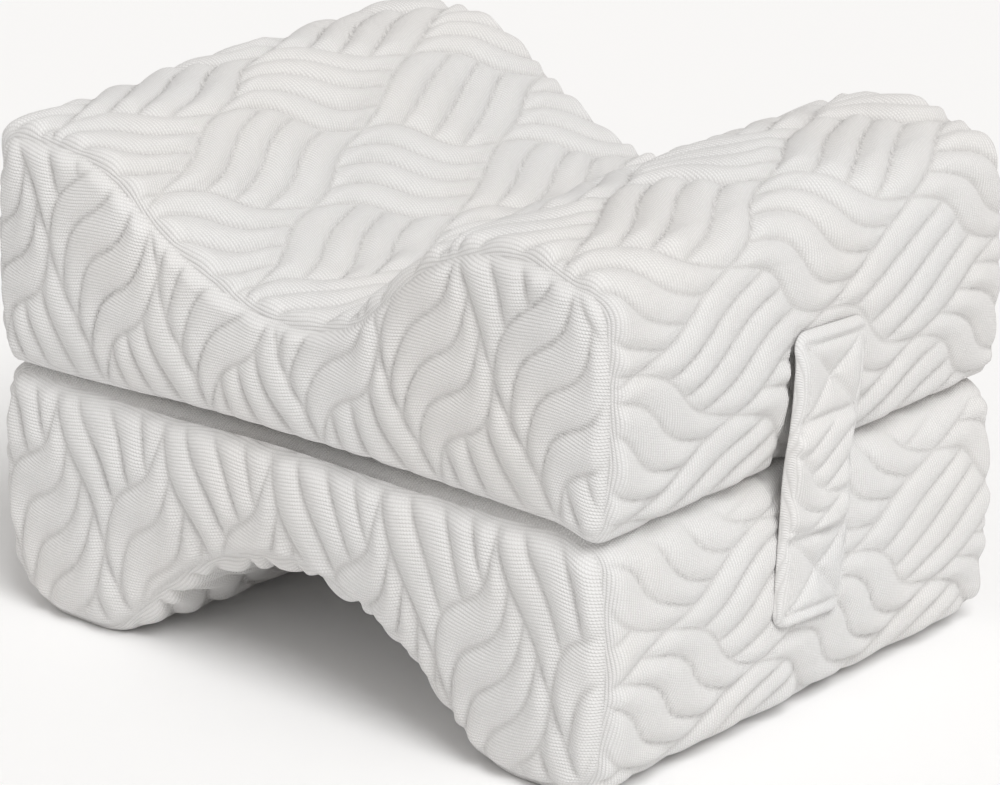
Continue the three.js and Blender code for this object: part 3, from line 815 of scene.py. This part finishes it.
def make_strap():
    bm = bmesh.new()
    columns, rows = round(STRAP_WIDTH / STRAP_CELL), round(STRAP_LENGTH / STRAP_CELL)
    bmesh.ops.create_grid(bm, x_segments=columns, y_segments=rows, size=1.0)
    flat = np.array([v.co[:2] for v in bm.verts]) * (STRAP_WIDTH / 2, STRAP_LENGTH / 2)
    beyond = np.abs(flat) - (STRAP_WIDTH / 2 - STRAP_CORNER, STRAP_LENGTH / 2 - STRAP_CORNER)
    corner = (beyond > 0).all(1)
    pull = beyond.max(1) / np.maximum(np.linalg.norm(beyond, axis=1), TINY)
    flat[corner] -= (np.sign(flat) * beyond * (1 - pull)[:, None])[corner]
    row = bm.verts.layers.int.new("row")
    uv = bm.loops.layers.uv.new("cloth")
    for number, vert in enumerate(bm.verts):
        vert[row] = number
    lengths = on_cloth(STRAP_REPEAT, flat[:, 0], flat[:, 1])
    for face in bm.faces:
        for loop in face.loops:
            loop[uv].uv = lengths[loop.vert[row]]
    made = bmesh.ops.extrude_face_region(bm, geom=list(bm.faces), use_keep_orig=True)
    raised = {g for g in made["geom"] if isinstance(g, bmesh.types.BMVert)}
    back = strap_place(*flat.T, 0)
    front = strap_place(*flat.T, strap_height(*flat.T))
    for vert in bm.verts:
        vert.co = (front if vert in raised else back)[vert[row]]
    bmesh.ops.recalc_face_normals(bm, faces=list(bm.faces))
    bm.verts.layers.int.remove(row)
    mesh = bpy.data.meshes.new("strap_cloth")
    bm.to_mesh(mesh)
    bm.free()
    mesh.shade_smooth()
    piece = bpy.data.objects.new("strap_cloth", mesh)
    bpy.context.scene.collection.objects.link(piece)
    return piece


strap = make_strap()
print("strap triangles:", 2 * len(strap.data.polygons), "open edges:", open_edges(strap.data))

# %% [markdown]
# The stitches are real threads. Each one is a small stretched sphere that lies in its groove, with
# a gap to the next one, along the hems and the welt and along the boxes and crosses at the ends.

# %% Strap stitches
STITCH_PITCH = 3.0 * MM
STITCH_LENGTH = 2.3 * MM
STITCH_WIDTH = 0.45 * MM
STITCH_PROUD = 0.08 * MM
STITCH_SIDES = 6
STITCH_RINGS = 5


def along_line(start, end):
    """The middles of a line's stitches, and the line's direction."""
    start, side = np.array(start), np.array(end) - np.array(start)
    length = np.linalg.norm(side)
    count = round(length / STITCH_PITCH)
    shares = (np.arange(count) + 0.5) / count
    return start + shares[:, None] * side, side / length


def make_stitches():
    bm = bmesh.new()
    for line in HEM_LINES + CROSS_LINES + FRONT_LINES:
        middles, way = along_line(*line)
        half = way * STITCH_LENGTH / 2
        for middle in middles:
            ends = np.array([middle - half, middle, middle + half])
            place = strap_place(*ends.T, strap_height(*ends.T))
            run = Vector(place[2] - place[0])
            turn = run.to_track_quat("Z", "X").to_matrix().to_4x4()
            size = Matrix.Diagonal((STITCH_WIDTH / 2, STITCH_WIDTH / 2, run.length / 2, 1))
            centre = Matrix.Translation(Vector(place.mean(0)) + Vector((STITCH_PROUD, 0, 0)))
            bmesh.ops.create_uvsphere(
                bm, u_segments=STITCH_SIDES, v_segments=STITCH_RINGS, radius=1.0,
                matrix=centre @ turn @ size,
            )
    mesh = bpy.data.meshes.new("strap_stitches")
    bm.to_mesh(mesh)
    bm.free()
    mesh.shade_smooth()
    piece = bpy.data.objects.new("strap_stitches", mesh)
    bpy.context.scene.collection.objects.link(piece)
    return piece


stitches = make_stitches()
print("stitch triangles:", sum(len(p.vertices) - 2 for p in stitches.data.polygons))

# %% [markdown]
# A look is a tree of nodes. Three short helpers make the trees below easier to read: one starts a
# node group with its sockets, one adds arithmetic, and one adds a smooth step.

# %% Node helpers
def new_group(name, inputs, outputs):
    group = bpy.data.node_groups.new(name, "ShaderNodeTree")
    for label, kind in inputs:
        group.interface.new_socket(label, in_out="INPUT", socket_type=kind)
    for label, kind in outputs:
        group.interface.new_socket(label, in_out="OUTPUT", socket_type=kind)
    return group, group.nodes.new("NodeGroupInput"), group.nodes.new("NodeGroupOutput")


def math_in(tree):
    """A short way to add Math nodes to a node tree: sums("ADD", a, b) gives the new socket."""

    def sums(operation, *values):
        node = tree.nodes.new("ShaderNodeMath")
        node.operation = operation
        for socket, value in zip(node.inputs, values):
            if isinstance(value, bpy.types.NodeSocket):
                tree.links.new(value, socket)
            else:
                socket.default_value = value
        return node.outputs[0]

    return sums


def ramp_in(tree, value, low, high):
    """A smooth step from 0 at low to 1 at high."""
    node = tree.nodes.new("ShaderNodeMapRange")
    node.interpolation_type = "SMOOTHSTEP"
    tree.links.new(value, node.inputs["Value"])
    node.inputs["From Min"].default_value = low
    node.inputs["From Max"].default_value = high
    return node.outputs["Result"]


# %% [markdown]
# Both covers and the strap are the same white double knit, so its look is made once, as node
# groups. Each group takes the cloth's own lengths from the UV map, in metres, and gives back
# heights and masks. The first group draws the knit itself: upright wales of small V stitches,
# about a millimetre apart.

# %% Knit group
WALE_WIDTH = 1.05 * MM
COURSE_HEIGHT = 0.85 * MM
V_SLANT = 0.7
STITCH_SHARE = 0.62


def knit_group():
    group, given, result = new_group(
        "double knit", [("Cloth", "NodeSocketVector")], [("Height", "NodeSocketFloat")]
    )
    sums = math_in(group)
    split = group.nodes.new("ShaderNodeSeparateXYZ")
    group.links.new(given.outputs["Cloth"], split.inputs["Vector"])
    wale = sums("DIVIDE", split.outputs["X"], WALE_WIDTH)
    off_middle = sums("ABSOLUTE", sums("SUBTRACT", sums("FRACT", wale), 0.5))
    course = sums("DIVIDE", split.outputs["Y"], COURSE_HEIGHT)
    staggered = sums("MULTIPLY_ADD", sums("FLOOR", wale), 0.5, course)
    slanted = sums("FRACT", sums("ADD", staggered, sums("MULTIPLY", off_middle, V_SLANT)))
    stitch = sums("SINE", sums("MULTIPLY", slanted, math.pi))
    crest = sums("COSINE", sums("MULTIPLY", off_middle, math.pi))
    rounded = sums("MULTIPLY_ADD", stitch, STITCH_SHARE, 1 - STITCH_SHARE)
    height = sums("MULTIPLY", rounded, crest)
    group.links.new(height, result.inputs["Height"])
    return group


knit = knit_group()
print(knit.name, "nodes:", len(knit.nodes))

# %% [markdown]
# The second group repeats the quilting's formula, so that it knows where the stitched creases are.
# The mesh already has the relief. The group only sharpens the bottom of each crease, where the
# thread pulls the cloth into a line finer than the mesh, and its mask also says where the material
# paints the crease's shade.

# %% Crease group
CREASE_START = 0.7
CREASE_END_START = 0.94
NEAR_START = 0.25
NEAR_END_START = 0.8


def crease_group():
    group, given, result = new_group(
        "quilted creases",
        [("Cloth", "NodeSocketVector")],
        [("Crease", "NodeSocketFloat"), ("Near crease", "NodeSocketFloat")],
    )
    sums = math_in(group)
    split = group.nodes.new("ShaderNodeSeparateXYZ")
    group.links.new(given.outputs["Cloth"], split.inputs["Vector"])
    long = sums("DIVIDE", split.outputs["X"], BLOCK_LENGTH)
    short = sums("DIVIDE", split.outputs["Y"], BLOCK_HEIGHT)
    a, b = sums("ADD", long, short), sums("SUBTRACT", long, short)

    def swayed(value, other, sway):
        wave = sums("SINE", sums("MULTIPLY", other, 2 * math.pi))
        return sums("SUBTRACT", value, sums("MULTIPLY", wave, sway))

    wavy, plain = swayed(a, b, CURLY_SWAY), swayed(b, a, STRAIGHT_SWAY)
    half = sums("MULTIPLY", sums("ADD", sums("FLOOR", wavy), sums("FLOOR", plain)), 0.5)
    odd = sums("MULTIPLY", sums("FRACT", half), 2)
    wavy, plain = sums("FRACT", wavy), sums("FRACT", plain)
    apart = sums("MULTIPLY", sums("SUBTRACT", wavy, plain), odd)
    across, along = sums("ADD", plain, apart), sums("SUBTRACT", wavy, apart)
    rib = sums("FRACT", sums("MULTIPLY", across, RIBS_IN_BLOCK))
    off_crest = sums("ABSOLUTE", sums("MULTIPLY_ADD", rib, 2, -1))
    from_middle = sums("ABSOLUTE", sums("MULTIPLY_ADD", along, 2, -1))

    def at_rim(across_start, along_start):
        sides = ramp_in(group, off_crest, across_start, 1)
        return sums("MAXIMUM", sides, ramp_in(group, from_middle, along_start, 1))

    group.links.new(at_rim(CREASE_START, CREASE_END_START), result.inputs["Crease"])
    group.links.new(at_rim(NEAR_START, NEAR_END_START), result.inputs["Near crease"])
    return group


creases = crease_group()
print(creases.name, "nodes:", len(creases.nodes))

# %% [markdown]
# The materials need a few more helpers: a group placed in a tree, a mix of two colours, a soft
# noise on the object, and a mask that the mesh carries.

# %% Material helpers
def put_group(tree, group):
    node = tree.nodes.new("ShaderNodeGroup")
    node.node_tree = group
    return node


def mixed(tree, share, first, second):
    """A colour between two colours, each a socket or a value: inputs 6 and 7 take colours."""
    node = tree.nodes.new("ShaderNodeMix")
    node.data_type = "RGBA"
    tree.links.new(share, node.inputs["Factor"])
    for socket, value in ((node.inputs[6], first), (node.inputs[7], second)):
        if isinstance(value, bpy.types.NodeSocket):
            tree.links.new(value, socket)
        else:
            socket.default_value = (*value, 1)
    return node.outputs[2]


def noise_in(tree, scale, detail):
    place = tree.nodes.new("ShaderNodeTexCoord")
    noise = tree.nodes.new("ShaderNodeTexNoise")
    noise.inputs["Scale"].default_value = scale
    noise.inputs["Detail"].default_value = detail
    tree.links.new(place.outputs["Object"], noise.inputs["Vector"])
    return noise.outputs["Fac"]


def mask_in(tree, name):
    """A mask that the piece's mesh carries, from 0 to 1."""
    mask = tree.nodes.new("ShaderNodeAttribute")
    mask.attribute_name = name
    return mask.outputs["Fac"]


# %% [markdown]
# The cloth itself is matt white cotton with a trace of fuzz. Its colour is never one flat value:
# broad faint patches differ in warmth, as washed cotton does, and shade is painted into it, a
# little darker in the creases, along the seams and in the hollows between the wales. Knit, creases
# and small wrinkles go into one bump. The painted shade of the creases and the seams is drawn only
# where the mesh carries their masks, which the strap doesn't.

# %% Cloth material
KNIT_DEPTH = 0.25
# KNIT_SHADE and SEAM_SHADE: how much painted shade darkens the hollows between the wales and the
# pinched seams.
KNIT_SHADE = 0.38
SEAM_SHADE = 0.12
SEAM_DEPTH = 0.2
CREASE_DEPTH = 0.18
PUCKER_DEPTH = 0.3
WRINKLE_DEPTH = 0.45
YARN_DRIFT = 1.6 * MM
YARN_UNEVEN = 1.1
DRIFT_SCALE = 45
PATCH_SCALE = 14
PATCH_EDGES = (0.35, 0.65)
YARN_SCALE = 620
PUCKER_SCALE = 190
WRINKLE_SCALE = 55
CLOTH_ROUGHNESS = 0.88
CLOTH_SPECULAR = 0.25
FUZZ = 0.12
FUZZ_ROUGHNESS = 0.5
# Painted shade: the darker colour that creases, seams and the hollows between the wales are mixed
# towards, and how much of it goes into the creases.
PAINTED_SHADE_GREY = (0.5, 0.485, 0.47)
CREASE_SHADE = 0.3


def drifting(tree, lengths):
    """The cloth's lengths with a slow drift, because yarn never runs quite straight."""
    place = tree.nodes.new("ShaderNodeTexCoord")
    noise = tree.nodes.new("ShaderNodeTexNoise")
    noise.inputs["Scale"].default_value = DRIFT_SCALE
    noise.inputs["Detail"].default_value = 2
    tree.links.new(place.outputs["Object"], noise.inputs["Vector"])
    shift = tree.nodes.new("ShaderNodeVectorMath")
    shift.operation = "MULTIPLY_ADD"
    shift.inputs[1].default_value = (YARN_DRIFT, YARN_DRIFT, 0)
    tree.links.new(noise.outputs["Color"], shift.inputs[0])
    tree.links.new(lengths, shift.inputs[2])
    return shift.outputs["Vector"]


def knit_material(name, warm, cool):
    material = bpy.data.materials.new(name)
    material.use_nodes = True
    tree = material.node_tree
    shader = tree.nodes["Principled BSDF"]
    shader.inputs["Roughness"].default_value = CLOTH_ROUGHNESS
    shader.inputs["Specular IOR Level"].default_value = CLOTH_SPECULAR
    shader.inputs["Sheen Weight"].default_value = FUZZ
    shader.inputs["Sheen Roughness"].default_value = FUZZ_ROUGHNESS
    sums = math_in(tree)
    cloth = tree.nodes.new("ShaderNodeUVMap")
    cloth.uv_map = "cloth"
    wales, folds = put_group(tree, knit), put_group(tree, creases)
    tree.links.new(drifting(tree, cloth.outputs["UV"]), wales.inputs["Cloth"])
    tree.links.new(cloth.outputs["UV"], folds.inputs["Cloth"])
    quilted, seam = mask_in(tree, "quilted"), mask_in(tree, "seam")
    crease = sums("MULTIPLY", folds.outputs["Crease"], quilted)
    near = sums("MULTIPLY", folds.outputs["Near crease"], quilted)
    patches = ramp_in(tree, noise_in(tree, PATCH_SCALE, 2), *PATCH_EDGES)
    ground = mixed(tree, patches, warm, cool)
    # Painted shade along the seams and in the creases.
    painted_shade = sums("MULTIPLY_ADD", seam, SEAM_SHADE, sums("MULTIPLY", crease, CREASE_SHADE))
    shaded_ground = mixed(tree, painted_shade, ground, PAINTED_SHADE_GREY)
    yarn_noise = noise_in(tree, YARN_SCALE, 2)
    uneven = sums("MULTIPLY_ADD", yarn_noise, YARN_UNEVEN, 1 - YARN_UNEVEN / 2)
    yarn = sums("MULTIPLY", wales.outputs["Height"], uneven)
    # Painted shade in the hollows between the wales.
    hollow = sums("MULTIPLY", sums("SUBTRACT", 1, yarn), KNIT_SHADE)
    tree.links.new(mixed(tree, hollow, shaded_ground, PAINTED_SHADE_GREY), shader.inputs["Base Color"])
    bump = tree.nodes.new("ShaderNodeBump")
    bump.inputs["Distance"].default_value = MM
    height = sums("MULTIPLY", yarn, KNIT_DEPTH)
    height = sums("MULTIPLY_ADD", crease, -CREASE_DEPTH, height)
    height = sums("MULTIPLY_ADD", seam, -SEAM_DEPTH, height)
    pucker = sums("MULTIPLY", noise_in(tree, PUCKER_SCALE, 2), PUCKER_DEPTH)
    height = sums("MULTIPLY_ADD", pucker, near, height)
    height = sums("MULTIPLY_ADD", noise_in(tree, WRINKLE_SCALE, 3), WRINKLE_DEPTH, height)
    tree.links.new(height, bump.inputs["Height"])
    tree.links.new(bump.outputs["Normal"], shader.inputs["Normal"])
    return material


cover_cloth = knit_material("cover_knit", (0.855, 0.843, 0.831), (0.846, 0.843, 0.84))
strap_knit = knit_material("strap_knit", (0.865, 0.855, 0.845), (0.855, 0.855, 0.855))
for piece in pieces.values():
    piece.data.materials.append(cover_cloth)
strap.data.materials.append(strap_knit)
print("cloths:", cover_cloth.name, strap_knit.name)

# %% [markdown]
# The thread is smoother than the cloth, so it is a little glossier. A fine noise stands for its
# twist.

# %% Thread material
TWIST_SCALE = 900
TWIST_SHADE = 0.9
THREAD_ROUGHNESS = 0.6


def thread_material(name, colour):
    material = bpy.data.materials.new(name)
    material.use_nodes = True
    tree = material.node_tree
    shader = tree.nodes["Principled BSDF"]
    shader.inputs["Roughness"].default_value = THREAD_ROUGHNESS
    twist = noise_in(tree, TWIST_SCALE, 1)
    darker = tuple(TWIST_SHADE * value for value in colour)
    tree.links.new(mixed(tree, twist, colour, darker), shader.inputs["Base Color"])
    return material


thread = thread_material("thread", (0.8, 0.79, 0.78))
stitches.data.materials.append(thread)
print("thread:", thread.name)

# %% [markdown]
# The floor is a plain pale sheet and the light is soft studio light. A broad, distant light stands
# above and to the right of the camera, so that each rib is bright on its upper side and shaded
# below, and the rest is even light from all round.

# %% Floor and light
floor_mesh = bpy.data.meshes.new("floor")
bm = bmesh.new()
bmesh.ops.create_grid(bm, x_segments=1, y_segments=1, size=6.0)
bm.to_mesh(floor_mesh)
bm.free()
floor = bpy.data.objects.new("floor", floor_mesh)
bpy.context.scene.collection.objects.link(floor)
floor_paint = bpy.data.materials.new("floor_paint")
floor_paint.use_nodes = True
paint = floor_paint.node_tree.nodes["Principled BSDF"]
paint.inputs["Base Color"].default_value = (0.96, 0.96, 0.96, 1)
paint.inputs["Roughness"].default_value = 0.9
floor_mesh.materials.append(floor_paint)

world = bpy.data.worlds.new("studio")
bpy.context.scene.world = world
world.use_nodes = True
world.node_tree.nodes["Background"].inputs["Color"].default_value = (1, 0.975, 0.95, 1)
world.node_tree.nodes["Background"].inputs["Strength"].default_value = 0.5
bpy.context.scene.view_settings.view_transform = "Standard"


def soft_sun(name, towards, spread, power):
    """A broad, distant light that shines from a direction."""
    light = bpy.data.lights.new(name, "SUN")
    light.angle = math.radians(spread)
    light.energy = power
    sun = bpy.data.objects.new(name, light)
    bpy.context.scene.collection.objects.link(sun)
    sun.rotation_euler = Vector(towards).to_track_quat("Z", "Y").to_euler()
    return sun


soft_sun("key_light", (1.02, -0.48, 1.5), 32, 1.95)

# %% [markdown]
# The pillow has no joint, so every piece rides the root. Each cover and the strap stand in for
# their solid, which is hidden.

# %% Ride, replace and finish
for name, piece in pieces.items():
    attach(piece, "root")
    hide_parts(name)
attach(strap, "root")
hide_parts("hinge_strap")
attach(stitches, "root")
